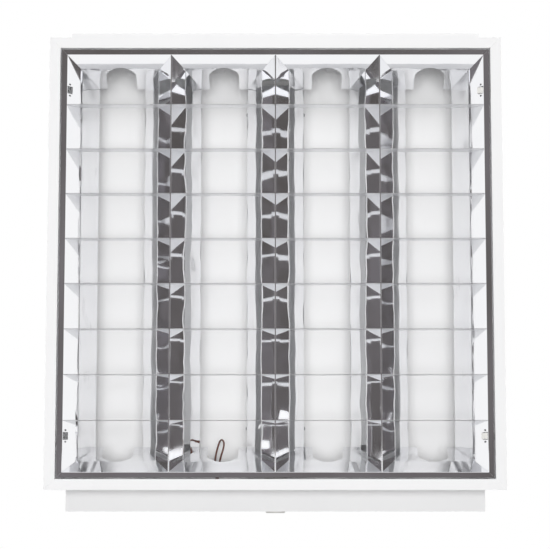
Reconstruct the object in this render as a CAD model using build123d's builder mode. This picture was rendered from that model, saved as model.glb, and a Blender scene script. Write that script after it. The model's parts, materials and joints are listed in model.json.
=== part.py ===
"""Recessed ceiling light for a 600 mm grid: a white steel housing that takes four 18 W tubes behind a
hinged mirror louvre of V dividers and cross blades.

Millimetres, +Z up. The light faces down. Its flange rests on the grid at z = 0, centred on the origin.
X runs across the tubes and Y along them. "Far" is the +Y end, where the mains cable comes in.
"""

import os
from math import radians, tan

from build123d import *

# ---------------------------------------------------------------- driving sizes
# Tubes: 18 W T8, measured between the faces of their caps, and how far the face stands out past them
LAMP_FACE_LENGTH = 589.8
FACE_MARGIN = 2.6

# Face frame: four mitred steel sections
FLANGE_WIDTH = 14.0
HEM_HEIGHT = 3.0
UPSTAND_HEIGHT = 22.0
SHEET = 0.8
MITRE_GAP = 0.15

# Housing tray and the end pockets that take the lampholders above the grid bars
TRAY_HEIGHT = 88.0
POCKET_FLOOR_Z = 40.0
POCKET_TAB = 9.0
POCKET_MARGIN = 1.6
RIVET_INSET = 10.0
RIVET_RADIUS = 2.4
BEAD_WIDTH = 14.0
BEAD_HEIGHT = 2.5
BEAD_LENGTH = 340.0
HANGING_HOLE_RADIUS = 3.25
HANGING_SPACING_Y = 420.0

# Mirror louvre
LOUVRE_GAP = 2.0
LOUVRE_RECESS = 1.5
RIM_WIDTH = 6.7
FOIL = 0.5
LANES = 4
WING_WIDTH = 37.8
LOUVRE_DEPTH = 46.5
KNEE_WIDTH = 18.0
KNEE_HEIGHT = 18.0
KNEE_RADIUS = 8.0
NOSE_RADIUS = 1.2
END_RATIO = 0.9
BLADES = 8
BLADE_PITCH = 59.4
BLADE_HEIGHT = 17.5
BLADE_THICKNESS = 0.6
BLADE_NOTCH = 4.0
SLOT_CLEARANCE = 0.15
SLOT_MARGIN = 1.2
BLADE_END_GAP = 0.4
ARCH_WIDTH = 40.0
ARCH_HEIGHT = 12.0
ARCH_SHOULDER = 27.0

# Windows in the side reflectors, with a hinge behind the left pair and a catch behind the right pair
WINDOW_OFFSET_Y = 228.0
WINDOW_START = 0.8
WINDOW_REACH = 6.0
WINDOW_LENGTH = 10.0
RELIEF_RADIUS = 1.25
RELIEF_OFFSET = 7.5
HINGE_INSET = 2.5
HINGE_HEIGHT = 4.5
PIN_RADIUS = 1.5
PIN_CLEARANCE = 0.06
PIN_END = 0.6
KNUCKLE_RADIUS = 2.3
KNUCKLE_LENGTH = 8.0
EAR = 1.6
EAR_GAP = 0.3
EAR_RIM = 0.9
HINGE_BASE = 16.0
HINGE_STEP = 6.0
HINGE_SLOPE = 4.0
CATCH_PIVOT_INSET = 5.0
CATCH_PIVOT_Z = 27.0
CATCH_WIDTH = 8.0
CATCH_BASE = 18.0
CATCH_BASE_DROP = 4.0
CATCH_EYE = 1.5
CATCH_NOSE = 1.5
CATCH_NOSE_GAP = 0.2
CATCH_NOSE_EDGE = 0.8
CATCH_NOSE_SLOPE = 5.0
CATCH_NOSE_RISE = 2.2
CATCH_ARM = 2.0
CATCH_ARM_OFFSET = 0.8

# Lampholders and rotors (G13 base: pins 12.7 apart)
LAMP_AXIS_Z = 54.0
LAMP_END_PLAY = 0.6
HOLDER_WIDTH = 23.0
HOLDER_TIP_RADIUS = 11.5
HOLDER_DEPTH = 11.0
NEAR_WIRING = 9.0
FAR_WIRING = 19.0
ROTOR_RADIUS = 8.5
ROTOR_DEPTH = 6.5
ROTOR_CLEARANCE = 0.08
ROTOR_WEB = 1.5
PIN_SLOT = 3.0
PIN_SLOT_STEP = 0.2
HOLDER_EDGE = 0.8
HOLDER_GAP = 0.5
WIRE_ENTRY = 6.0
WIRE_ENTRY_DROP = 7.0
WIRE_ENTRY_DEPTH = 4.0
WIRE_ENTRY_CLEARANCE = 0.2
HOLDER_PLATE_SHEET = 1.2
KNOCKOUT_RADIUS = 11.0
KNOCKOUT_RING = 2.0
KNOCKOUT_RISE = 0.8
KNOCKOUT_SHIFT = 5.0
PLATE_REACH = 22.0
PLATE_LAP = 13.0
PLATE_WAIST = 3.0
PLATE_MARGIN = 1.0

# Gear channel and what it covers
COVER_WIDTH = 60.0
COVER_LENGTH = 470.0
COVER_HEIGHT = 33.0
COVER_FOOT = 11.0
COVER_BEND = 2.0
GEAR_LENGTH = 280.0
GEAR_WIDTH = 40.0
GEAR_HEIGHT = 26.0
GEAR_CORNER = 2.0
GEAR_TAB = 12.0
GEAR_TAB_SHEET = 1.0
GEAR_TAB_INSET = 6.0
GEAR_HOLE_RADIUS = 2.2
TERMINAL_WIDTH = 30.0
TERMINAL_LENGTH = 20.0
TERMINAL_HEIGHT = 17.0
TERMINAL_INSET = 2.0
TERMINAL_WAYS = 3
TERMINAL_BORE_RADIUS = 2.0
TERMINAL_CHAMFER = 3.0
EARTH_OFFSET = 30.0
EARTH_WASHER_RADIUS = 5.0
EARTH_WASHER = 1.0
EARTH_NUT_RADIUS = 4.0
EARTH_NUT = 3.2
EARTH_STUD_RADIUS = 2.0
EARTH_STUD = 10.0
SCREW_RADIUS = 3.0
SCREW_INSET = 20.0
GROMMET_BORE_RADIUS = 7.0
GROMMET_HOLE_RADIUS = 10.0
GROMMET_FLANGE_RADIUS = 13.0
GROMMET_FLANGE = 2.2
GROMMET_Z = 64.0

# Wires and the tie on the hanging lead
WIRE_RADIUS = 1.2
SLEEVE_RADIUS = 2.5
SLEEVE_MARGIN = 6.0
LEAD_DROP = 10.0
LEAD_INSET = 0.2
LEAD_BEND = 14.0
LOOP_REACH = 66.0
TIE_OFFSET_Y = 16.5
TIE_WIDTH = 2.4
TIE_THICKNESS = 1.1
TIE_SLACK = 0.25
TIE_HEAD = 4.4
TIE_TAIL = 30.0
TIE_TOOTH = 1.5
TIE_TOOTH_DEPTH = 0.4
HARNESS_DROP = 3.0
HARNESS_SHARE = 0.6

# ---------------------------------------------------------------- worked-out places
face_half = LAMP_FACE_LENGTH / 2 + FACE_MARGIN
frame_inner = face_half - FLANGE_WIDTH
tray_half = frame_inner + 2 * SHEET
tray_inner = tray_half - SHEET
panel_z = TRAY_HEIGHT - SHEET
rim_outer = frame_inner - LOUVRE_GAP
cell_half = rim_outer - RIM_WIDTH
lane_pitch = 2 * cell_half / LANES
lane_centres = [(lane - (LANES - 1) / 2) * lane_pitch for lane in range(LANES)]
divider_places = [(line - LANES / 2) * lane_pitch for line in range(1, LANES)]
blade_places = [(blade - (BLADES - 1) / 2) * BLADE_PITCH for blade in range(BLADES)]
louvre_back = LOUVRE_RECESS + LOUVRE_DEPTH
holder_face = LAMP_FACE_LENGTH / 2 + LAMP_END_PLAY
holder_back = holder_face + HOLDER_DEPTH
near_wall_y = holder_back + NEAR_WIRING
far_wall_y = holder_back + FAR_WIRING
pocket_half = tray_half - POCKET_TAB - POCKET_MARGIN
hinge_x = -(rim_outer - HINGE_INSET)
catch_pivot_x = frame_inner - CATCH_PIVOT_INSET

white, mirror_finish, nylon = Color(0.93, 0.93, 0.94), Color(0.7, 0.72, 0.75), Color(0.9, 0.9, 0.88)
zinc, brown, grey = Color(0.6, 0.6, 0.62), Color(0.42, 0.28, 0.24), Color(0.35, 0.35, 0.36)

os.makedirs("parts", exist_ok=True)


def save(piece, name, colour):
    """Label a finished sub-part, colour it and write it as its own STEP file."""
    piece.part.label = name
    piece.part.color = colour
    export_step(piece.part, f"parts/{name}.step")


def wing_at(height):
    """How far a wing stands out from its front edge, at a height above that edge."""
    if height <= KNEE_HEIGHT:
        return KNEE_WIDTH * height / KNEE_HEIGHT
    share = (height - KNEE_HEIGHT) / (LOUVRE_DEPTH - KNEE_HEIGHT)
    return KNEE_WIDTH + (WING_WIDTH - KNEE_WIDTH) * share


# ---------------------------------------------------------------- face frame
def face_section(name, turn):
    """One rolled section: flange on the grid bar, hem outside and upstand inside, mitred at both ends."""
    side = Plane.XY.rotated((0, 0, turn))
    with BuildPart() as section:
        with BuildSketch(Plane(side.origin, x_dir=side.x_dir, z_dir=-side.y_dir)):
            with BuildLine():
                Polyline(
                    (-face_half, HEM_HEIGHT), (-face_half, 0), (-frame_inner, 0), (-frame_inner, UPSTAND_HEIGHT)
                )
                offset(amount=SHEET, side=Side.LEFT)
            make_face()
        extrude(amount=face_half, both=True)
        with BuildSketch(side):
            outside = face_half + 1
            Polygon(
                (-outside, -outside + MITRE_GAP), (-MITRE_GAP, 0), (-outside, outside - MITRE_GAP), align=None
            )
        extrude(amount=HEM_HEIGHT + UPSTAND_HEIGHT, mode=Mode.INTERSECT)
    save(section, name, white)


for side_name, side_turn in (("left", 0), ("near", 90), ("right", 180), ("far", 270)):
    face_section(f"face_frame_{side_name}", side_turn)


# ---------------------------------------------------------------- housing tray
def bead_outlines(inset):
    """Stiffening beads of the back panel, above the outer dividers."""
    with Locations((divider_places[0], 0), (divider_places[-1], 0)):
        SlotOverall(BEAD_LENGTH - 2 * inset, BEAD_WIDTH - 2 * inset, rotation=90)


with BuildPart() as tray:
    tray_height = TRAY_HEIGHT - SHEET
    with BuildSketch(Plane.XY.offset(SHEET)):
        Rectangle(2 * tray_half, 2 * tray_half)
    extrude(amount=tray_height)
    fillet(tray.edges().filter_by(Axis.Z), radius=2 * SHEET)
    with BuildSketch(Plane.XY.offset(TRAY_HEIGHT)):
        bead_outlines(0)
    extrude(amount=BEAD_HEIGHT, taper=30)
    with BuildSketch(Plane.XY.offset(SHEET)):
        Rectangle(2 * tray_inner, 2 * tray_inner)
    extrude(amount=tray_height - SHEET, mode=Mode.SUBTRACT)
    with BuildSketch(Plane.XY.offset(panel_z)):
        bead_outlines(SHEET)
    extrude(amount=BEAD_HEIGHT, taper=30, mode=Mode.SUBTRACT)
    # Windows in both end walls, behind which the pockets stand
    with BuildSketch(Plane.XZ):
        with Locations((0, (POCKET_FLOOR_Z + SHEET + panel_z) / 2)):
            Rectangle(2 * (pocket_half - SHEET), panel_z - POCKET_FLOOR_Z - SHEET)
    extrude(amount=face_half, both=True, mode=Mode.SUBTRACT)
    # Hanging holes, above the outer dividers
    with Locations(Plane.XY.offset(TRAY_HEIGHT)):
        with GridLocations(divider_places[-1] - divider_places[0], HANGING_SPACING_Y, 2, 2):
            Hole(HANGING_HOLE_RADIUS, depth=3 * SHEET)
save(tray, "housing_tray", white)


# ---------------------------------------------------------------- end pockets
def end_pocket(name, end, wall_y, has_cable_entry):
    """Folded channel on the tray's end wall: roof, outer wall and floor, with a tab down the tray for rivets."""
    with BuildPart() as pocket:
        with BuildSketch(Plane.YZ):
            with BuildLine():
                Polyline(
                    (tray_half, TRAY_HEIGHT),
                    (wall_y, TRAY_HEIGHT),
                    (wall_y, POCKET_FLOOR_Z),
                    (tray_half + SHEET, POCKET_FLOOR_Z),
                    (tray_half + SHEET, POCKET_FLOOR_Z - POCKET_TAB),
                )
                offset(amount=SHEET, side=Side.RIGHT)
            make_face()
        extrude(amount=pocket_half, both=True)
        if has_cable_entry:
            with BuildSketch(Plane.XZ.offset(-wall_y - 1)):
                with Locations((0, GROMMET_Z)):
                    Circle(GROMMET_HOLE_RADIUS)
            extrude(amount=SHEET + 2, mode=Mode.SUBTRACT)
        if end < 0:
            mirror(about=Plane.XZ, mode=Mode.REPLACE)
    save(pocket, name, white)


end_pocket("end_pocket_near", -1, near_wall_y, False)
end_pocket("end_pocket_far", 1, far_wall_y, True)

with BuildPart() as pocket_caps:
    for end, wall_y in ((-1, near_wall_y), (1, far_wall_y)):
        for hand in (-1, 1):
            with BuildSketch(Plane.XY.offset(POCKET_FLOOR_Z + SHEET)):
                with BuildLine():
                    Polyline(
                        (hand * pocket_half, end * (wall_y - SHEET)),
                        (hand * (pocket_half - SHEET), end * (wall_y - SHEET)),
                        (hand * (pocket_half - SHEET), end * tray_half),
                        (hand * (pocket_half + POCKET_TAB), end * tray_half),
                        (hand * (pocket_half + POCKET_TAB), end * (tray_half + SHEET)),
                        (hand * pocket_half, end * (tray_half + SHEET)),
                        close=True,
                    )
                make_face()
            extrude(amount=panel_z - POCKET_FLOOR_Z - SHEET)
save(pocket_caps, "pocket_caps", white)

with BuildPart() as grommet:
    with BuildSketch(Plane.YZ):
        with BuildLine():
            Polyline(
                (far_wall_y - SHEET - GROMMET_FLANGE, GROMMET_Z + GROMMET_BORE_RADIUS),
                (far_wall_y + GROMMET_FLANGE, GROMMET_Z + GROMMET_BORE_RADIUS),
                (far_wall_y + GROMMET_FLANGE, GROMMET_Z + GROMMET_FLANGE_RADIUS - 1),
                (far_wall_y + GROMMET_FLANGE - 1, GROMMET_Z + GROMMET_FLANGE_RADIUS),
                (far_wall_y, GROMMET_Z + GROMMET_FLANGE_RADIUS),
                (far_wall_y, GROMMET_Z + GROMMET_HOLE_RADIUS),
                (far_wall_y - SHEET, GROMMET_Z + GROMMET_HOLE_RADIUS),
                (far_wall_y - SHEET, GROMMET_Z + GROMMET_FLANGE_RADIUS - 1),
                (far_wall_y - SHEET - GROMMET_FLANGE, GROMMET_Z + GROMMET_FLANGE_RADIUS - 2),
                close=True,
            )
        make_face()
    revolve(axis=Axis((0, 0, GROMMET_Z), (0, 1, 0)))
save(grommet, "cable_grommet", nylon)


# ---------------------------------------------------------------- louvre: V dividers
def wing_plan(reach):
    """Plan outline of a V divider between its four mitres, out to a reach on either side."""
    end_y = cell_half - MITRE_GAP
    shoulder_y = end_y - END_RATIO * reach
    right = [(0, end_y), (reach, shoulder_y), (reach, -shoulder_y)]
    left = [(0, -end_y), (-reach, -shoulder_y), (-reach, shoulder_y)]
    return right + left


def divider(name, place):
    """Folded V of mirror sheet, its nose to the room, slotted through both wings for each cross blade."""
    with BuildPart() as vee:
        with BuildSketch(Plane.XZ):
            with BuildLine():
                FilletPolyline(
                    (place - WING_WIDTH, louvre_back),
                    (place - KNEE_WIDTH, LOUVRE_RECESS + KNEE_HEIGHT),
                    (place, LOUVRE_RECESS),
                    (place + KNEE_WIDTH, LOUVRE_RECESS + KNEE_HEIGHT),
                    (place + WING_WIDTH, louvre_back),
                    radius=[KNEE_RADIUS, NOSE_RADIUS, KNEE_RADIUS],
                )
                offset(amount=FOIL, side=Side.LEFT)
            make_face()
        extrude(amount=cell_half, both=True)
        with BuildSketch(Plane.XY):
            with Locations((place, 0)):
                Polygon(*wing_plan(WING_WIDTH + 1), align=None)
        extrude(amount=TRAY_HEIGHT, mode=Mode.INTERSECT)
        slot_foot = LOUVRE_RECESS + BLADE_NOTCH - SLOT_CLEARANCE
        slot_head = LOUVRE_RECESS + BLADE_HEIGHT + SLOT_CLEARANCE
        slot_reach = wing_at(BLADE_HEIGHT) + SLOT_MARGIN
        with BuildSketch(Plane.XY.offset(slot_foot)):
            with Locations(*[(place, y) for y in blade_places]):
                Rectangle(2 * slot_reach, BLADE_THICKNESS + 2 * SLOT_CLEARANCE)
        extrude(amount=slot_head - slot_foot, mode=Mode.SUBTRACT)
    save(vee, name, mirror_finish)


for number, ridge_x in enumerate(divider_places, start=1):
    divider(f"divider_{number}", ridge_x)


# ---------------------------------------------------------------- louvre: reflectors round the edge
def edge_profile(ratio):
    """Room-side line of an edge reflector, from the rim's outer edge to the back, seen along the edge."""
    FilletPolyline(
        (-rim_outer, LOUVRE_RECESS),
        (-cell_half, LOUVRE_RECESS),
        (-cell_half + ratio * KNEE_WIDTH, LOUVRE_RECESS + KNEE_HEIGHT),
        (-cell_half + ratio * WING_WIDTH, louvre_back),
        radius=[NOSE_RADIUS, KNEE_RADIUS],
    )
    offset(amount=FOIL, side=Side.LEFT)


reach = WING_WIDTH + 1
side_plan = [
    (-rim_outer - 1, rim_outer + 1 - MITRE_GAP),
    (-cell_half, cell_half - MITRE_GAP),
    (-cell_half + reach, cell_half - MITRE_GAP - END_RATIO * reach),
    (-cell_half + reach, -cell_half + MITRE_GAP + END_RATIO * reach),
    (-cell_half, -cell_half + MITRE_GAP),
    (-rim_outer - 1, -rim_outer - 1 + MITRE_GAP),
]

with BuildPart() as left_reflector:
    with BuildSketch(Plane.XZ):
        with BuildLine():
            edge_profile(1)
        make_face()
    extrude(amount=rim_outer, both=True)
    with BuildSketch(Plane.XY):
        Polygon(*side_plan, align=None)
    extrude(amount=TRAY_HEIGHT, mode=Mode.INTERSECT)
    window_x = -cell_half + WINDOW_START + WINDOW_REACH / 2
    with BuildSketch(Plane.XY):
        with Locations((window_x, -WINDOW_OFFSET_Y), (window_x, WINDOW_OFFSET_Y)):
            Rectangle(WINDOW_REACH, WINDOW_LENGTH)
            with Locations((0, -RELIEF_OFFSET), (0, RELIEF_OFFSET)):
                Circle(RELIEF_RADIUS)
    extrude(amount=TRAY_HEIGHT, mode=Mode.SUBTRACT)
save(left_reflector, "side_reflector_left", mirror_finish)

with BuildPart() as right_reflector:
    add(left_reflector.part.mirror(Plane.YZ))
save(right_reflector, "side_reflector_right", mirror_finish)

with BuildPart() as near_reflector:
    with BuildSketch(Plane.YZ):
        with BuildLine():
            edge_profile(END_RATIO)
        make_face()
    extrude(amount=rim_outer, both=True)
    with BuildSketch(Plane.XY):
        Rectangle(4 * face_half, 4 * face_half)
        # Corner mitres beside the side reflectors
        for hand in (-1, 1):
            Polygon(
                (hand * (rim_outer + 1 - MITRE_GAP), -rim_outer - 1),
                (hand * (cell_half - MITRE_GAP), -cell_half),
                (hand * (cell_half - MITRE_GAP - reach), -cell_half + END_RATIO * reach),
                (hand * face_half, -cell_half + END_RATIO * reach),
                (hand * face_half, -rim_outer - 1),
                align=None,
                mode=Mode.SUBTRACT,
            )
        # Notches that take the dividers
        for ridge_x in divider_places:
            Polygon(
                (ridge_x, -cell_half),
                (ridge_x - reach, -cell_half + END_RATIO * reach),
                (ridge_x + reach, -cell_half + END_RATIO * reach),
                align=None,
                mode=Mode.SUBTRACT,
            )
    extrude(amount=TRAY_HEIGHT, mode=Mode.INTERSECT)
    # Arches that the tubes pass through
    shoulder_z = LOUVRE_RECESS + ARCH_SHOULDER
    with BuildSketch(Plane.XZ):
        with Locations(*[(x, shoulder_z) for x in lane_centres]):
            Ellipse(ARCH_WIDTH / 2, ARCH_HEIGHT)
            with Locations((0, LOUVRE_DEPTH / 2)):
                Rectangle(ARCH_WIDTH, LOUVRE_DEPTH)
    extrude(amount=rim_outer, mode=Mode.SUBTRACT)
save(near_reflector, "end_reflector_near", mirror_finish)

with BuildPart() as far_reflector:
    add(near_reflector.part.mirror(Plane.XZ))
save(far_reflector, "end_reflector_far", mirror_finish)


# ---------------------------------------------------------------- louvre: cross blades
def cross_blade(name, place):
    """Flat strip across all lanes, cut to the side reflectors' slope and notched over each divider's nose."""
    foot = LOUVRE_RECESS
    head = LOUVRE_RECESS + BLADE_HEIGHT
    foot_half = cell_half - NOSE_RADIUS
    head_half = cell_half - wing_at(BLADE_HEIGHT) - BLADE_END_GAP
    notch_half = wing_at(BLADE_NOTCH) + SLOT_CLEARANCE
    with BuildPart() as blade:
        with BuildSketch(Plane.XZ.offset(-place - BLADE_THICKNESS / 2)):
            Polygon((-foot_half, foot), (foot_half, foot), (head_half, head), (-head_half, head), align=None)
            for ridge_x in divider_places:
                Polygon(
                    (ridge_x - NOSE_RADIUS, foot),
                    (ridge_x + NOSE_RADIUS, foot),
                    (ridge_x + notch_half, foot + BLADE_NOTCH),
                    (ridge_x - notch_half, foot + BLADE_NOTCH),
                    align=None,
                    mode=Mode.SUBTRACT,
                )
        extrude(amount=BLADE_THICKNESS)
    save(blade, name, mirror_finish)


for number, blade_y in enumerate(blade_places, start=1):
    cross_blade(f"cross_blade_{number}", blade_y)


# ---------------------------------------------------------------- hinge side of the louvre
window_ends = (-WINDOW_OFFSET_Y, WINDOW_OFFSET_Y)
hinge_plane = Plane((hinge_x, 0, HINGE_HEIGHT), x_dir=(1, 0, 0), z_dir=(0, -1, 0))
ear_offset = KNUCKLE_LENGTH / 2 + EAR_GAP + EAR / 2
wall_run = -tray_inner - hinge_x
upstand_run = -frame_inner - hinge_x + EAR_GAP
bracket_top = UPSTAND_HEIGHT + HINGE_BASE - HINGE_HEIGHT
step_z = UPSTAND_HEIGHT + EAR_GAP - HINGE_HEIGHT
eye_front = PIN_RADIUS + EAR_RIM
eye_back = -PIN_RADIUS - EAR_RIM / 2

with BuildPart() as hinge_brackets:
    for window_y in window_ends:
        # Base on the tray wall, above the frame's upstand
        with BuildSketch(hinge_plane.offset(-window_y)):
            with Locations(((wall_run + EAR / 2), (step_z + bracket_top) / 2)):
                Rectangle(EAR, bracket_top - step_z)
        extrude(amount=ear_offset + EAR / 2, both=True)
        for hand in (-1, 1):
            with BuildSketch(hinge_plane.offset(-window_y + hand * ear_offset)):
                with BuildLine():
                    Polyline(
                        (eye_front, 0),
                        (eye_front, step_z + HINGE_STEP),
                        (wall_run, bracket_top),
                        (wall_run, step_z),
                        (upstand_run, step_z),
                        (eye_back, step_z - HINGE_SLOPE),
                        (eye_back, 0),
                    )
                    ThreePointArc((eye_back, 0), ((eye_front + eye_back) / 2, -eye_front), (eye_front, 0))
                make_face()
            extrude(amount=EAR / 2, both=True)
    with BuildSketch(hinge_plane):
        Circle(PIN_RADIUS)
    extrude(amount=face_half, both=True, mode=Mode.SUBTRACT)
save(hinge_brackets, "hinge_brackets", nylon)

with BuildPart() as hinge_pins:
    for window_y in window_ends:
        with BuildSketch(hinge_plane.offset(-window_y)):
            Circle(PIN_RADIUS)
        extrude(amount=ear_offset + EAR / 2 + PIN_END, both=True)
save(hinge_pins, "hinge_pins", zinc)

with BuildPart() as hinge_knuckles:
    for window_y in window_ends:
        with BuildSketch(hinge_plane.offset(-window_y)):
            Circle(KNUCKLE_RADIUS)
            # Foot that joins the rolled eye to the rim
            foot_drop = HINGE_HEIGHT - LOUVRE_RECESS - FOIL
            with Locations((0, -foot_drop / 2 - PIN_RADIUS / 2)):
                Rectangle(2 * PIN_RADIUS, foot_drop - PIN_RADIUS)
            Circle(PIN_RADIUS + PIN_CLEARANCE, mode=Mode.SUBTRACT)
        extrude(amount=KNUCKLE_LENGTH / 2, both=True)
save(hinge_knuckles, "hinge_knuckles", zinc)

# ---------------------------------------------------------------- catch side of the louvre
catch_plane = Plane((catch_pivot_x, 0, CATCH_PIVOT_Z), x_dir=(1, 0, 0), z_dir=(0, -1, 0))
catch_ear_offset = CATCH_WIDTH / 2 + EAR_GAP + EAR / 2
catch_wall_run = tray_inner - catch_pivot_x
window_edge_x = cell_half - WINDOW_START - WINDOW_REACH
nose_top_z = LOUVRE_RECESS + WINDOW_START + WINDOW_REACH - CATCH_NOSE_GAP
nose_tip_x = window_edge_x - CATCH_NOSE
lever_outer = CATCH_ARM_OFFSET + CATCH_ARM / 2
lever_inner = CATCH_ARM_OFFSET - CATCH_ARM / 2
pivot_eye = PIN_RADIUS + CATCH_EYE


def catch_lever(name, window_y):
    """Sprung lever on a pin, its nose through the window under the side reflector."""
    with BuildPart() as lever:
        with BuildSketch(catch_plane.offset(-window_y)):
            nose_top = nose_top_z - CATCH_PIVOT_Z
            nose_tip = nose_tip_x - catch_pivot_x
            nose_foot = LOUVRE_RECESS + WINDOW_START + CATCH_NOSE_RISE - CATCH_PIVOT_Z
            Polygon(
                (lever_inner, 0),
                (lever_inner, nose_top + CATCH_EYE),
                (lever_inner - CATCH_EYE, nose_top),
                (nose_tip, nose_top),
                (nose_tip, nose_top - CATCH_NOSE_EDGE),
                (nose_tip + CATCH_NOSE_SLOPE, nose_foot),
                (lever_outer, nose_foot),
                (lever_outer, 0),
                align=None,
            )
            Circle(pivot_eye)
            Circle(PIN_RADIUS + PIN_CLEARANCE, mode=Mode.SUBTRACT)
        extrude(amount=CATCH_WIDTH / 2, both=True)
    save(lever, name, nylon)


catch_lever("catch_near", -WINDOW_OFFSET_Y)
catch_lever("catch_far", WINDOW_OFFSET_Y)

with BuildPart() as catch_brackets:
    for window_y in window_ends:
        with BuildSketch(catch_plane.offset(-window_y)):
            with Locations((catch_wall_run - SHEET / 2, CATCH_BASE / 2 - CATCH_BASE_DROP)):
                Rectangle(SHEET, CATCH_BASE)
        extrude(amount=catch_ear_offset + EAR / 2, both=True)
        for hand in (-1, 1):
            with BuildSketch(catch_plane.offset(-window_y + hand * catch_ear_offset)):
                Polygon(
                    (-pivot_eye, -pivot_eye),
                    (catch_wall_run, -CATCH_BASE_DROP),
                    (catch_wall_run, CATCH_BASE - CATCH_BASE_DROP),
                    (-pivot_eye, pivot_eye),
                    align=None,
                )
            extrude(amount=EAR / 2, both=True)
    with BuildSketch(catch_plane):
        Circle(PIN_RADIUS)
    extrude(amount=face_half, both=True, mode=Mode.SUBTRACT)
save(catch_brackets, "catch_brackets", white)

with BuildPart() as catch_pins:
    for window_y in window_ends:
        with BuildSketch(catch_plane.offset(-window_y)):
            Circle(PIN_RADIUS)
        extrude(amount=catch_ear_offset + EAR / 2 + PIN_END, both=True)
save(catch_pins, "catch_pins", zinc)


# ---------------------------------------------------------------- lampholders and rotors
def lampholder(name, x, end):
    """Rotary holder: a shoe on the holder plate with a round recess for the rotor and a slot for the pins."""
    face = Plane((x, end * holder_face, LAMP_AXIS_Z), x_dir=(end, 0, 0), z_dir=(0, -end, 0))
    base_height = panel_z - HOLDER_PLATE_SHEET - LAMP_AXIS_Z
    with BuildPart() as holder:
        with BuildSketch(face):
            Circle(HOLDER_TIP_RADIUS)
            with Locations((0, base_height / 2)):
                Rectangle(HOLDER_WIDTH, base_height)
        extrude(amount=-HOLDER_DEPTH)
        tip_edges = holder.faces().filter_by(GeomType.CYLINDER).edges().filter_by(GeomType.CIRCLE)
        fillet(tip_edges, radius=HOLDER_EDGE)
        with BuildSketch(face):
            Circle(ROTOR_RADIUS + ROTOR_CLEARANCE)
        extrude(amount=-(ROTOR_DEPTH + ROTOR_CLEARANCE), mode=Mode.SUBTRACT)
        with BuildSketch(face):
            with Locations((0, -HOLDER_TIP_RADIUS)):
                Rectangle(PIN_SLOT, 2 * (HOLDER_TIP_RADIUS - ROTOR_RADIUS + 1))
        extrude(amount=-ROTOR_DEPTH, mode=Mode.SUBTRACT)
        # Wire entries beside the base
        with BuildSketch(face.offset(-HOLDER_DEPTH)):
            with Locations((0, base_height - WIRE_ENTRY_DROP)):
                with GridLocations(2 * WIRE_ENTRY, 1, 2, 1):
                    Circle(WIRE_RADIUS + WIRE_ENTRY_CLEARANCE)
        extrude(amount=WIRE_ENTRY_DEPTH, mode=Mode.SUBTRACT)
    save(holder, name, nylon)


def rotor(name, x, end):
    """Turning disc of the holder, its slot in line with the entry slot so that a tube can go in."""
    face = Plane((x, end * holder_face, LAMP_AXIS_Z), x_dir=(end, 0, 0), z_dir=(0, -end, 0))
    with BuildPart() as disc:
        with BuildSketch(face):
            Circle(ROTOR_RADIUS)
        extrude(amount=-ROTOR_DEPTH)
        with BuildSketch(face):
            Rectangle(PIN_SLOT - PIN_SLOT_STEP, 3 * ROTOR_RADIUS)
        extrude(amount=-(ROTOR_DEPTH - ROTOR_WEB), mode=Mode.SUBTRACT)
    save(disc, name, nylon)


for lane, lane_x in enumerate(lane_centres, start=1):
    for end_name, end in (("near", -1), ("far", 1)):
        lampholder(f"lampholder_{end_name}_{lane}", lane_x, end)
        rotor(f"rotor_{end_name}_{lane}", lane_x, end)


def holder_plates(name, end, has_knockouts):
    """Two tapered plates on the back panel, each under the holders of two lanes, with a ringed knock-out."""
    outer_y = near_wall_y - SHEET - PLATE_MARGIN
    inner_y = holder_face - PLATE_REACH
    with BuildPart() as plates:
        for pair_x in (-lane_pitch, lane_pitch):
            with BuildSketch(Plane.XY.offset(panel_z - HOLDER_PLATE_SHEET)):
                with BuildLine():
                    Polyline(
                        (pair_x - lane_pitch / 2 - PLATE_LAP, end * outer_y),
                        (pair_x + lane_pitch / 2 + PLATE_LAP, end * outer_y),
                        (pair_x + lane_pitch / 2 - PLATE_WAIST, end * inner_y),
                        (pair_x - lane_pitch / 2 + PLATE_WAIST, end * inner_y),
                        close=True,
                    )
                make_face()
            extrude(amount=HOLDER_PLATE_SHEET)
            if has_knockouts:
                knockout_y = end * (holder_face - PLATE_MARGIN)
                with BuildSketch(Plane.XY.offset(panel_z - HOLDER_PLATE_SHEET - KNOCKOUT_RISE)):
                    with Locations((pair_x - lane_pitch / 2 + KNOCKOUT_SHIFT, knockout_y)):
                        Circle(KNOCKOUT_RADIUS + 2 * KNOCKOUT_RING)
                        Circle(KNOCKOUT_RADIUS + KNOCKOUT_RING, mode=Mode.SUBTRACT)
                        Circle(KNOCKOUT_RADIUS)
                    # Clear of the holders' shoes
                    with Locations((pair_x, end * (holder_back - HOLDER_GAP))):
                        Rectangle(2 * lane_pitch, 2 * HOLDER_DEPTH, mode=Mode.SUBTRACT)
                extrude(amount=KNOCKOUT_RISE)
    save(plates, name, white)


holder_plates("holder_plates_near", -1, True)
holder_plates("holder_plates_far", 1, False)


# ---------------------------------------------------------------- gear channel
with BuildPart() as gear_cover:
    cover_foot_z = panel_z - COVER_HEIGHT
    with BuildSketch(Plane.XZ):
        with BuildLine():
            FilletPolyline(
                (-COVER_WIDTH / 2 - COVER_FOOT, panel_z - SHEET),
                (-COVER_WIDTH / 2, panel_z - SHEET),
                (-COVER_WIDTH / 2, cover_foot_z),
                (COVER_WIDTH / 2, cover_foot_z),
                (COVER_WIDTH / 2, panel_z - SHEET),
                (COVER_WIDTH / 2 + COVER_FOOT, panel_z - SHEET),
                radius=COVER_BEND,
            )
            offset(amount=SHEET, side=Side.LEFT)
        make_face()
    extrude(amount=COVER_LENGTH / 2, both=True)
save(gear_cover, "gear_cover", white)

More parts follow.
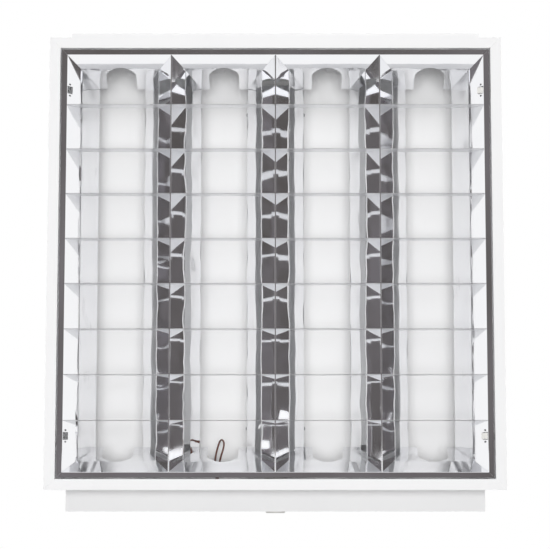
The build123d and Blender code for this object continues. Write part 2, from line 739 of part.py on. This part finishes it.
with BuildPart() as control_gear:
    with BuildSketch(Plane.XY.offset(panel_z - GEAR_HEIGHT)):
        RectangleRounded(GEAR_WIDTH, GEAR_LENGTH, GEAR_CORNER)
    extrude(amount=GEAR_HEIGHT - GEAR_TAB_SHEET)
    with BuildSketch(Plane.XY.offset(panel_z - GEAR_TAB_SHEET)):
        SlotOverall(GEAR_LENGTH + 2 * GEAR_TAB, GEAR_WIDTH - 2 * GEAR_TAB_INSET, rotation=90)
        with GridLocations(1, GEAR_LENGTH + GEAR_TAB, 1, 2):
            Circle(GEAR_HOLE_RADIUS, mode=Mode.SUBTRACT)
    extrude(amount=GEAR_TAB_SHEET)
save(control_gear, "control_gear", grey)

terminal_y = tray_inner - TERMINAL_INSET - TERMINAL_LENGTH / 2
with BuildPart() as terminal_block:
    with BuildSketch(Plane.XY.offset(panel_z - TERMINAL_HEIGHT)):
        with Locations((0, terminal_y)):
            Rectangle(TERMINAL_WIDTH, TERMINAL_LENGTH)
    extrude(amount=TERMINAL_HEIGHT)
    chamfer(terminal_block.faces().sort_by(Axis.Z)[0].edges().filter_by(Axis.X), length=TERMINAL_CHAMFER)
    with BuildSketch(Plane.XZ.offset(-terminal_y)):
        with Locations((0, panel_z - TERMINAL_HEIGHT / 2)):
            with GridLocations(TERMINAL_WIDTH / TERMINAL_WAYS, 1, TERMINAL_WAYS, 1):
                Circle(TERMINAL_BORE_RADIUS)
    extrude(amount=TERMINAL_LENGTH, both=True, mode=Mode.SUBTRACT)
save(terminal_block, "terminal_block", nylon)


# ---------------------------------------------------------------- wires
def bend_radii(corners):
    """Widest bend at each corner of a wire's route that leaves its neighbours their share of the run."""
    radii = []
    for before, corner, after in zip(corners, corners[1:], corners[2:]):
        arrive, leave = Vector(corner) - Vector(before), Vector(after) - Vector(corner)
        half_turn = radians(arrive.get_angle(leave)) / 2
        radii.append(min(LEAD_BEND, 0.45 * min(arrive.length, leave.length) / tan(half_turn)))
    return radii


# Brown lead of the second lane: out of the holder's front, through the tie, round in a tilted loop and back
lead_x = lane_centres[1]
lead_y = holder_face - LEAD_INSET
lead_z = panel_z - HOLDER_PLATE_SHEET - LEAD_DROP
tie_y = holder_face - TIE_OFFSET_Y
loop_y = holder_face - LOOP_REACH
lead_corners = [
    (lead_x - 10, lead_y, lead_z),
    (lead_x - 10, tie_y - 5, lead_z),
    (lead_x - 13, tie_y - 20, lead_z - 1),
    (lead_x - 7, loop_y + 5, lead_z - 3.5),
    (lead_x - 2.5, loop_y, lead_z - 11.5),
    (lead_x + 1.8, loop_y + 7.3, lead_z - 20.2),
    (lead_x - 5.5, tie_y - 20, lead_z - 16),
    (lead_x - 8, tie_y - 5, lead_z - 1.8),
    (lead_x - 8, lead_y, lead_z - 1.8),
]
lead_radii = bend_radii(lead_corners)
print("lead bends, mm:", [round(radius, 1) for radius in lead_radii])
with BuildPart() as lead_loop:
    with BuildLine() as lead_route:
        FilletPolyline(*lead_corners, radius=lead_radii)
    with BuildSketch(Plane(lead_route.line @ 0, z_dir=lead_route.line % 0)):
        Circle(WIRE_RADIUS)
    sweep(path=lead_route.wires()[0])
save(lead_loop, "lead_loop", brown)
print("lead length, mm:", round(lead_route.wires()[0].length, 1))

# Nylon tie round both strands, with its toothed tail left long
strand_gap = Vector(lead_corners[-1]) - Vector(lead_corners[0])
lead_middle = (Vector(lead_corners[0]) + Vector(lead_corners[-1])) / 2
tie_centre = Vector(lead_middle.X, tie_y, lead_middle.Z)
tie_plane = Plane(tie_centre, x_dir=strand_gap, z_dir=(0, 1, 0))
tie_inner = WIRE_RADIUS + TIE_SLACK
tail_direction = Vector(-0.35, -1, -0.22).normalized()
with BuildPart() as cable_tie:
    with BuildSketch(tie_plane):
        SlotCenterToCenter(strand_gap.length, 2 * (tie_inner + TIE_THICKNESS))
        with Locations((-strand_gap.length / 2 - tie_inner - TIE_HEAD / 2, 0)):
            Rectangle(TIE_HEAD, TIE_HEAD)
        SlotCenterToCenter(strand_gap.length, 2 * tie_inner, mode=Mode.SUBTRACT)
    extrude(amount=TIE_WIDTH / 2, both=True)
    tail_root = tie_centre - strand_gap.normalized() * (strand_gap.length / 2 + tie_inner + TIE_HEAD / 2)
    teeth = int(TIE_TAIL / TIE_TOOTH)
    face, groove = TIE_THICKNESS / 2, TIE_THICKNESS / 2 - TIE_TOOTH_DEPTH
    with BuildSketch(Plane(tail_root, x_dir=tail_direction, z_dir=(-1, 0.35, 0))):
        with BuildLine():
            Polyline(
                *[(step * TIE_TOOTH, groove if step % 2 else face) for step in range(teeth)],
                (teeth * TIE_TOOTH, face),
                (teeth * TIE_TOOTH, -face),
                (0, -face),
                close=True,
            )
        make_face()
    extrude(amount=TIE_WIDTH / 2, both=True)
save(cable_tie, "cable_tie", nylon)


def harness(name, end, run_y):
    """Sleeved bundle across an end pocket, with a branch to the back of each lampholder."""
    sleeve_z = panel_z - SLEEVE_RADIUS - HARNESS_DROP
    with BuildPart() as bundle:
        sleeve_start = (lane_centres[0] - SLEEVE_MARGIN, end * run_y, sleeve_z)
        with BuildSketch(Plane(sleeve_start, z_dir=(1, 0, 0))):
            Circle(SLEEVE_RADIUS)
        extrude(amount=lane_centres[-1] - lane_centres[0] + 2 * SLEEVE_MARGIN)
        for lane_x in lane_centres:
            branch_start = (lane_x + end * WIRE_ENTRY, end * holder_back, sleeve_z)
            with BuildSketch(Plane(branch_start, z_dir=(0, end, 0))):
                Circle(WIRE_RADIUS)
            extrude(amount=run_y - holder_back)
    save(bundle, name, grey)


harness("harness_near", -1, holder_back + NEAR_WIRING / 2)
harness("harness_far", 1, holder_back + HARNESS_SHARE * FAR_WIRING)


# ---------------------------------------------------------------- fasteners
with BuildPart() as pocket_rivets:
    rivet_z = (POCKET_FLOOR_Z + RIVET_INSET, TRAY_HEIGHT - RIVET_INSET)
    rivet_x = pocket_half + POCKET_TAB / 2
    for end in (-1, 1):
        for hand in (-1, 1):
            for z in rivet_z:
                seat = (hand * rivet_x, end * (tray_half + SHEET), z)
                with BuildSketch(Plane(seat, z_dir=(0, end, 0))):
                    Circle(RIVET_RADIUS)
                extrude(amount=SHEET)
save(pocket_rivets, "pocket_rivets", zinc)

with BuildPart() as cover_screws:
    for hand in (-1, 1):
        for y in (-COVER_LENGTH / 2 + SCREW_INSET, COVER_LENGTH / 2 - SCREW_INSET):
            screw_x = hand * (COVER_WIDTH / 2 + COVER_FOOT - SCREW_RADIUS - 1)
            with BuildSketch(Plane((screw_x, y, panel_z - SHEET), z_dir=(0, 0, -1))):
                Circle(SCREW_RADIUS)
            extrude(amount=2 * SHEET)
save(cover_screws, "cover_screws", zinc)

earth_seat = Plane((EARTH_OFFSET, terminal_y, panel_z), z_dir=(0, 0, -1))
with BuildPart() as earth_screw:
    with BuildSketch(earth_seat):
        Circle(EARTH_WASHER_RADIUS)
    extrude(amount=EARTH_WASHER)
    with BuildSketch(earth_seat.offset(EARTH_WASHER)):
        RegularPolygon(EARTH_NUT_RADIUS, 6)
    extrude(amount=EARTH_NUT)
    with BuildSketch(earth_seat.offset(EARTH_WASHER)):
        Circle(EARTH_STUD_RADIUS)
    extrude(amount=EARTH_STUD - EARTH_WASHER)
save(earth_screw, "earth_screw", zinc)
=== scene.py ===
"""Looks of the recessed ceiling light: the finishes of its sheet metal and fittings, the hanging lead,
the room round it, the lamps and the camera.

Metres, in the part's own frame: +Z up into the ceiling, the mirror louvre faces down, Y runs along the tubes.
"""

import json
import math

import bpy
import numpy as np
from mathutils import Matrix, Vector


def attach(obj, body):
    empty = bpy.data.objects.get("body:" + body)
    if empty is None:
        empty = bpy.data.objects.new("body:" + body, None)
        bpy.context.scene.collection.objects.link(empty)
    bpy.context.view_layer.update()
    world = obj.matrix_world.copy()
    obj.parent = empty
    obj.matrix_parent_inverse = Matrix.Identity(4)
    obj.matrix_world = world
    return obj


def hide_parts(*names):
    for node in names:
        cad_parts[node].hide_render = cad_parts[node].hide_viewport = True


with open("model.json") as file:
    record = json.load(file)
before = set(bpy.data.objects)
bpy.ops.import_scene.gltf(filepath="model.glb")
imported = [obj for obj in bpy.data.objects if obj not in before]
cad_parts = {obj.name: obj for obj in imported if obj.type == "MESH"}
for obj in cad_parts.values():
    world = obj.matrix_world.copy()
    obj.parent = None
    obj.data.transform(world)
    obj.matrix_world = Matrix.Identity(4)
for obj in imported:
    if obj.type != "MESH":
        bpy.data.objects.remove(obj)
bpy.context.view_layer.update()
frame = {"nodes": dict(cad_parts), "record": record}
nodes = frame["nodes"]


# ---------------------------------------------------------------- colours, patterns and nodes
# Most values of a noise pattern lie between these two
NOISE_LOW = 0.3
NOISE_HIGH = 0.7
# Colour sockets of a Mix node, whose names its number sockets share
MIX_FIRST = 6
MIX_SECOND = 7
MIX_RESULT = 2


def linear(hex_colour):
    """An sRGB hex colour as the linear RGBA that a shader takes."""
    value = np.array([int(hex_colour[i:i + 2], 16) for i in (1, 3, 5)]) / 255
    value = np.where(value <= 0.04045, value / 12.92, ((value + 0.055) / 1.055) ** 2.4)
    return (*value, 1.0)


def add_node(tree, kind, inputs=(), **settings):
    """Adds a node, sets its properties and fills its inputs, each from a value or another node's output."""
    node = tree.nodes.new(kind)
    for name, value in settings.items():
        setattr(node, name, value)
    for name, value in dict(inputs).items():
        if isinstance(value, bpy.types.NodeSocket):
            tree.links.new(value, node.inputs[name])
        else:
            node.inputs[name].default_value = value
    return node


def new_material(name):
    """A node material with its Principled shader on the output, and object coordinates to read."""
    material = bpy.data.materials.new(name)
    material.use_nodes = True
    tree = material.node_tree
    tree.nodes.clear()
    shader = add_node(tree, "ShaderNodeBsdfPrincipled")
    add_node(tree, "ShaderNodeOutputMaterial", {"Surface": shader.outputs[0]})
    place = add_node(tree, "ShaderNodeTexCoord").outputs["Object"]
    return material, tree, shader, place


def set_inputs(shader, **values):
    """Sets the shader's own sockets, spaces in their names written as underscores."""
    for name, value in values.items():
        shader.inputs[name.replace("_", " ")].default_value = value


def grain(tree, place, size_mm, detail=2.0, stretch=(1, 1, 1)):
    """Noise with grains of a real size in millimetres, stretched along the axes by the given factors."""
    mapped = add_node(tree, "ShaderNodeMapping", {"Vector": place, "Scale": [1 / s for s in stretch]})
    return add_node(tree, "ShaderNodeTexNoise", {
        "Vector": mapped.outputs[0], "Scale": 1000 / size_mm, "Detail": detail}).outputs["Fac"]


def patches(tree, place, size_mm, low, high, **pattern):
    """A value that changes from low to high between patches of a real size in millimetres."""
    return add_node(tree, "ShaderNodeMapRange", {
        "Value": grain(tree, place, size_mm, **pattern), "From Min": NOISE_LOW, "From Max": NOISE_HIGH,
        "To Min": low, "To Max": high}).outputs[0]


def mottle(tree, shader, place, size_mm, low, high):
    """Base colour between two hex colours, in patches of a real size in millimetres."""
    mix = add_node(tree, "ShaderNodeMix", {
        "Factor": grain(tree, place, size_mm), MIX_FIRST: linear(low), MIX_SECOND: linear(high)},
        data_type="RGBA")
    tree.links.new(mix.outputs[MIX_RESULT], shader.inputs["Base Color"])


def roughen(tree, shader, place, size_mm, low, high, **pattern):
    """Roughness that changes from low to high between patches of a real size in millimetres."""
    tree.links.new(patches(tree, place, size_mm, low, high, **pattern), shader.inputs["Roughness"])


def skin(tree, shader, place, size_mm, depth_mm, under=None, **pattern):
    """Relief with grains of a real size and depth in millimetres, on top of any relief given as under."""
    inputs = {"Height": grain(tree, place, size_mm, **pattern), "Distance": depth_mm / 1000}
    if under is not None:
        inputs["Normal"] = under
    relief = add_node(tree, "ShaderNodeBump", inputs).outputs[0]
    tree.links.new(relief, shader.inputs["Normal"])
    return relief


# ---------------------------------------------------------------- hollow rolling of the louvre's reflectors
# Heights above the face of the light, in metres: a toe's foot, where toe and wing meet, and a wing's back
TOE_FOOT = 0.0015
KNEE = 0.0195
WING_BACK = 0.048
# How far the lines of a wing's hollow wander up and down, in metres
LINE_WANDER = 0.0018
WING_FOOT = KNEE - LINE_WANDER
# Slopes of the flat sheet, in degrees
TOE_SLOPE = 45.0
WING_SLOPE = 55.2
# For each kind of reflector, the tilt of its toe, then its wing as (height where a tilt starts, tilt), with
# tilts in degrees. A divider's wing starts with a narrow fold, then a foot that tilts less. The near end
# reflector is rolled like the sides.
SIDE_HOLLOW = (0.0, [(WING_FOOT, 18.0)])
DIVIDER_HOLLOW = (6.5, [(0.0190, 20.0), (0.0204, 4.5), (0.0310, 12.0)])
FAR_END_HOLLOW = (7.0, [(WING_FOOT, 14.0)])


def hollow_rolling(tree, place, toe_tilt, wing_tilts):
    """Height in millimetres that tilts a reflector's toe and wing steeper, as hollow rolling does.

    In each band the sheet sinks by the tangent of the band's tilt times the way up its slope. The lines
    between the wing's bands wander up and down.
    """
    height_up = add_node(tree, "ShaderNodeSeparateXYZ", {"Vector": place}).outputs["Z"]
    wander = patches(tree, place, 45, -LINE_WANDER, LINE_WANDER, detail=1)
    wandering = add_node(tree, "ShaderNodeMath", {0: height_up, 1: wander}, operation="ADD").outputs[0]
    tops = [start for start, tilt in wing_tilts[1:]] + [WING_BACK]
    bands = [(height_up, TOE_FOOT, KNEE, TOE_SLOPE, toe_tilt)]
    bands += [(wandering, start, top, WING_SLOPE, tilt) for (start, tilt), top in zip(wing_tilts, tops)]
    total = 0.0
    for height, low, high, slope, tilt in bands:
        fall = math.tan(math.radians(tilt)) / math.sin(math.radians(slope)) * (high - low) * 1000
        ramp = add_node(tree, "ShaderNodeMapRange", {
            "Value": height, "From Min": low, "From Max": high, "To Min": 0.0, "To Max": -fall}).outputs[0]
        total = add_node(tree, "ShaderNodeMath", {0: total, 1: ramp}, operation="ADD").outputs[0]
    return total


# ---------------------------------------------------------------- finishes
def white_powder_coat():
    """Polyester powder coat on steel: a soft sheen over fine orange peel, lighter in wide soft patches."""
    material, tree, shader, place = new_material("white_powder_coat")
    mottle(tree, shader, place, 140, "#F0F0F1", "#F4F4F4")
    roughen(tree, shader, place, 30, 0.38, 0.46)
    skin(tree, shader, place, 1.6, 0.02, detail=1)
    return material


def mirror_aluminium(name, toe_tilt, wing_tilts):
    """Anodised high-purity aluminium mirror, roll-formed thin: long shallow waves bend its reflections.

    Its rolling lines are drawn coarser than real ones, which are too fine to show.
    """
    material, tree, shader, place = new_material(name)
    set_inputs(shader, Metallic=1.0)
    mottle(tree, shader, place, 60, "#F2F3F6", "#F7F7F8")
    roughen(tree, shader, place, 3, 0.03, 0.07, stretch=(1, 12, 1))
    # The hollow's height is in millimetres
    rolled = add_node(tree, "ShaderNodeBump", {
        "Height": hollow_rolling(tree, place, toe_tilt, wing_tilts), "Distance": 1 / 1000}).outputs[0]
    waves = skin(tree, shader, place, 55, 0.3, under=rolled, detail=1, stretch=(1, 1.6, 1))
    skin(tree, shader, place, 2.5, 0.003, under=waves, detail=1, stretch=(1, 30, 1))
    return material


def satin_aluminium():
    """Matt-anodised aluminium strip of the cross blades: bright, with a wide sheen and faint rolling lines.

    The lines are drawn coarser than real ones, which are too fine to show.
    """
    material, tree, shader, place = new_material("satin_anodised_aluminium")
    set_inputs(shader, Metallic=0.9)
    mottle(tree, shader, place, 25, "#E9EAEC", "#EFEFF1")
    roughen(tree, shader, place, 2, 0.32, 0.42, stretch=(20, 1, 1))
    skin(tree, shader, place, 0.8, 0.004, stretch=(40, 1, 1))
    return material


def moulded_plastic():
    """Injection-moulded polycarbonate: satin white, faintly warm, with a fine mould texture."""
    material, tree, shader, place = new_material("moulded_white_plastic")
    mottle(tree, shader, place, 9, "#E4E3DF", "#ECEBE7")
    roughen(tree, shader, place, 5, 0.32, 0.42)
    skin(tree, shader, place, 0.6, 0.01)
    return material


def zinc_plate():
    """Bright zinc on steel: a grey metal with small blurred spangles."""
    material, tree, shader, place = new_material("bright_zinc_plate")
    set_inputs(shader, Metallic=1.0)
    mottle(tree, shader, place, 1.5, "#AFB1B4", "#C6C8CA")
    roughen(tree, shader, place, 0.8, 0.22, 0.4)
    skin(tree, shader, place, 0.5, 0.006)
    return material


def brown_wire():
    """Extruded PVC insulation: glossy brown, darker where it is scuffed, with a slightly grainy skin."""
    material, tree, shader, place = new_material("brown_pvc_insulation")
    set_inputs(shader, Coat_Weight=0.25, Coat_Roughness=0.2)
    mottle(tree, shader, place, 6, "#5A3A33", "#7A5046")
    roughen(tree, shader, place, 1.2, 0.3, 0.42)
    skin(tree, shader, place, 0.9, 0.01)
    return material


def grey_rubber():
    """Matt thermoplastic rubber, with a bloom that lightens it in patches."""
    material, tree, shader, place = new_material("grey_rubber")
    mottle(tree, shader, place, 4, "#47484A", "#595A5C")
    roughen(tree, shader, place, 2, 0.55, 0.7)
    skin(tree, shader, place, 0.5, 0.012)
    return material


def gear_case():
    """Coil-coated steel case of the control gear: satin off-white."""
    material, tree, shader, place = new_material("coil_coated_steel")
    mottle(tree, shader, place, 40, "#D4D4D1", "#DDDDDA")
    roughen(tree, shader, place, 12, 0.36, 0.46)
    skin(tree, shader, place, 1.2, 0.008)
    return material


finishes = {
    "white_steel": white_powder_coat(),
    "mirror_aluminium": mirror_aluminium("anodised_mirror_aluminium", *SIDE_HOLLOW),
    "white_plastic": moulded_plastic(),
    "zinc_steel": zinc_plate(),
    "brown_wire": brown_wire(),
    "grey_rubber": grey_rubber(),
    "gear_case": gear_case(),
}
for part in frame["record"]["subparts"]:
    mesh = nodes[part["node"]].data
    mesh.materials.clear()
    mesh.materials.append(finishes[part["material_slot"]])

# Nodes whose names start so have a finish of their own
own_finish = {
    "cross_blade": satin_aluminium(),
    "divider": mirror_aluminium("anodised_mirror_dividers", *DIVIDER_HOLLOW),
    "end_reflector_far": mirror_aluminium("anodised_mirror_far_end", *FAR_END_HOLLOW),
}
for name, node in nodes.items():
    for start, finish in own_finish.items():
        if name.startswith(start):
            node.data.materials[0] = finish


# ---------------------------------------------------------------- the hanging lead
LEAD_RADIUS = 0.0012
LEAD_X = -0.0687
LEAD_Z = 0.076
# Along the light: where the lead enters its lampholder, its tie, and the loop's end towards the middle
HOLDER_Y = 0.2953
TIE_Y = 0.279
LOOP_Y = 0.2295


def wire(name, points, radius):
    """Round wire along a smooth NURBS line whose control points are the given ones, in metres."""
    curve = bpy.data.curves.new(name, "CURVE")
    curve.dimensions = "3D"
    curve.bevel_depth = radius
    curve.bevel_resolution = 5
    curve.resolution_u = 16
    curve.use_fill_caps = True
    line = curve.splines.new("NURBS")
    line.points.add(len(points) - 1)
    line.points.foreach_set("co", np.c_[points, np.ones(len(points))].ravel())
    line.order_u = 3
    line.use_endpoint_u = True
    made = bpy.data.objects.new(name, curve)
    bpy.context.scene.collection.objects.link(made)
    return made


lead_points = np.array([
    (LEAD_X - 0.010, HOLDER_Y, LEAD_Z),
    (LEAD_X - 0.010, TIE_Y - 0.005, LEAD_Z),
    (LEAD_X - 0.013, TIE_Y - 0.020, LEAD_Z - 0.001),
    (LEAD_X - 0.007, LOOP_Y + 0.005, LEAD_Z - 0.0035),
    (LEAD_X - 0.0025, LOOP_Y, LEAD_Z - 0.0115),
    (LEAD_X + 0.0018, LOOP_Y + 0.0073, LEAD_Z - 0.0202),
    (LEAD_X - 0.0055, TIE_Y - 0.020, LEAD_Z - 0.016),
    (LEAD_X - 0.008, TIE_Y - 0.005, LEAD_Z - 0.0018),
    (LEAD_X - 0.008, HOLDER_Y, LEAD_Z - 0.0018),
])
lead = wire("brown_lead", lead_points, LEAD_RADIUS)
lead.data.materials.append(finishes["brown_wire"])
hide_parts("lead_loop")
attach(lead, "housing")


# ---------------------------------------------------------------- floor, unlit room and lamps
FLOOR_SIDE = 30
FLOOR_Z = -5.5
FLOOR_GLOW = 0.9
WORLD_LIGHT = 0.3
# The unlit room under the light is a tunnel along Y: its radius, and its ends along Y
ROOM_RADIUS = 1.95
ROOM_NEAR_END = -1.0
ROOM_FAR_END = 0.2
# Within this distance of the middle, the far end is further out
ROOM_MIDDLE = 0.6
ROOM_MIDDLE_END = 0.66
# How far below the horizon the tunnel starts, in degrees, and its points from side to side
ROOM_TOP = 15.0
ROOM_STEPS = 48
# Name, place in metres, side in metres and power in watts
SOFT_BOXES = [
    ("soft_box_left", (-0.45, 0.2, -2.9), 1.2, 27.5),
    ("soft_box_right", (0.45, 0.2, -2.9), 1.2, 27.5),
    ("soft_box_near", (0, -2.0, -2.4), 1.4, 16),
    ("soft_box_above", (0.4, -2.6, 3.0), 2.0, 70),
]


def sheet(name, points, faces, material):
    """A sheet of the room round the light, from whole arrays of points and faces."""
    mesh = bpy.data.meshes.new(name)
    mesh.from_pydata(points.tolist(), [], faces.tolist())
    mesh.materials.append(material)
    made = bpy.data.objects.new(name, mesh)
    bpy.context.scene.collection.objects.link(made)
    return made


def seen_directly(tree):
    """1 for rays from the camera, a mirror or clear plastic, and 0 for those that only carry light."""
    rays = add_node(tree, "ShaderNodeLightPath").outputs
    camera_or_mirror = add_node(
        tree, "ShaderNodeMath", {0: rays["Is Camera Ray"], 1: rays["Is Glossy Ray"]}, operation="MAXIMUM")
    return add_node(
        tree, "ShaderNodeMath", {0: camera_or_mirror.outputs[0], 1: rays["Is Transmission Ray"]},
        operation="MAXIMUM").outputs[0]


def floor_paint():
    """Pale matt floor paint that shows as the white background."""
    material, tree, shader, place = new_material("pale_floor")
    mottle(tree, shader, place, 900, "#F0F0F0", "#F4F4F4")
    set_inputs(shader, Roughness=0.9, Emission_Color=linear("#FFFFFF"))
    glow = add_node(tree, "ShaderNodeMapRange", {"Value": seen_directly(tree), "To Max": FLOOR_GLOW})
    tree.links.new(glow.outputs[0], shader.inputs["Emission Strength"])
    return material


def unlit_paint():
    """The unlit end of a studio, in dark greys that change slowly from place to place.

    It is clear to rays that have left a matt surface, so it takes no light away from those.
    """
    material = bpy.data.materials.new("unlit_room")
    material.use_nodes = True
    tree = material.node_tree
    tree.nodes.clear()
    place = add_node(tree, "ShaderNodeTexCoord").outputs["Object"]
    shade = add_node(tree, "ShaderNodeMix", {
        "Factor": patches(tree, place, 500, 0, 1),
        MIX_FIRST: linear("#5C5856"), MIX_SECOND: linear("#7C787B")}, data_type="RGBA")
    grey = add_node(tree, "ShaderNodeEmission", {"Color": shade.outputs[MIX_RESULT]})
    clear = add_node(tree, "ShaderNodeBsdfTransparent")
    matt_bounces = add_node(tree, "ShaderNodeLightPath").outputs["Diffuse Depth"]
    mix = add_node(tree, "ShaderNodeMixShader", {
        "Fac": matt_bounces, 1: grey.outputs[0], 2: clear.outputs[0]})
    add_node(tree, "ShaderNodeOutputMaterial", {"Surface": mix.outputs[0]})
    return material


def pale_floor():
    """Square floor: each corner lies half a side out from the middle, along X and along Y."""
    corners = np.array([(-1, -1, 0), (1, -1, 0), (1, 1, 0), (-1, 1, 0)]) * FLOOR_SIDE / 2 + (0, 0, FLOOR_Z)
    return sheet("pale_floor", corners, np.array([(0, 1, 2, 3)]), floor_paint())


def unlit_room():
    """Half-round tunnel below the light, along Y, hidden from the camera, so that it shows in reflections.

    A point lies the radius times the cosine of its turn across, and the radius times its sine down. The first
    row of points is the near end, the second the far end.
    """
    turn = np.radians(np.linspace(ROOM_TOP, 180 - ROOM_TOP, ROOM_STEPS))
    across = ROOM_RADIUS * np.cos(turn)
    up = -ROOM_RADIUS * np.sin(turn)
    near_end = np.full(ROOM_STEPS, ROOM_NEAR_END)
    far_end = np.where(abs(across) < ROOM_MIDDLE, ROOM_MIDDLE_END, ROOM_FAR_END)
    points = np.stack([np.tile(across, 2), np.concatenate([near_end, far_end]), np.tile(up, 2)], -1)
    first = np.arange(ROOM_STEPS - 1)
    faces = np.stack([first, first + 1, ROOM_STEPS + first + 1, ROOM_STEPS + first], -1)
    room = sheet("unlit_room", points, faces, unlit_paint())
    room.visible_camera = False
    room.visible_diffuse = False
    room.visible_shadow = False
    return room


def soft_lamp(name, place, size, power):
    """Square soft box aimed at the louvre, kept out of its mirrors."""
    data = bpy.data.lights.new(name, "AREA")
    data.shape = "SQUARE"
    data.size = size
    data.energy = power
    made = bpy.data.objects.new(name, data)
    made.location = place
    made.rotation_mode = "QUATERNION"
    made.rotation_quaternion = Vector(place).to_track_quat("Z", "Y")
    made.visible_glossy = False
    bpy.context.scene.collection.objects.link(made)


floor = pale_floor()
room = unlit_room()
for name, place, size, power in SOFT_BOXES:
    soft_lamp(name, place, size, power)

world = bpy.data.worlds.new("white_studio")
bpy.context.scene.world = world
world.use_nodes = True
sky = world.node_tree
sky.nodes.clear()
level = add_node(sky, "ShaderNodeMapRange", {
    "Value": seen_directly(sky), "To Min": WORLD_LIGHT, "To Max": 1.0})
light = add_node(sky, "ShaderNodeBackground", {"Color": linear("#FFFFFF"), "Strength": level.outputs[0]})
add_node(sky, "ShaderNodeOutputWorld", {"Surface": light.outputs[0]})


# ---------------------------------------------------------------- camera
# Below the louvre and a little towards the cable end, in metres, and its tilt from straight up
CAMERA_PLACE = (0.007, 0.300, -1.9)
CAMERA_TILT = math.radians(5.44)
CAMERA_SHIFT = (-0.0104, 0.14)
CAMERA_CLIP = (0.05, 60)
SENSOR_WIDTH_MM = 36
# The photo's width, and the focal length in the same pixels
PHOTO_WIDTH_PX = 550
FOCAL_LENGTH_PX = 1475

camera_data = bpy.data.cameras.new("camera")
camera_data.sensor_width = SENSOR_WIDTH_MM
camera_data.lens = FOCAL_LENGTH_PX / PHOTO_WIDTH_PX * SENSOR_WIDTH_MM
camera_data.shift_x, camera_data.shift_y = CAMERA_SHIFT
camera_data.clip_start, camera_data.clip_end = CAMERA_CLIP
camera = bpy.data.objects.new("camera", camera_data)
tilt_sin = math.sin(CAMERA_TILT)
tilt_cos = math.cos(CAMERA_TILT)
camera.matrix_world = Matrix.Translation(CAMERA_PLACE) @ Matrix((
    (1, 0, 0, 0),
    (0, -tilt_cos, tilt_sin, 0),
    (0, -tilt_sin, -tilt_cos, 0),
    (0, 0, 0, 1),
))
bpy.context.scene.collection.objects.link(camera)
bpy.context.scene.camera = camera
bpy.context.scene.view_settings.view_transform = "Standard"
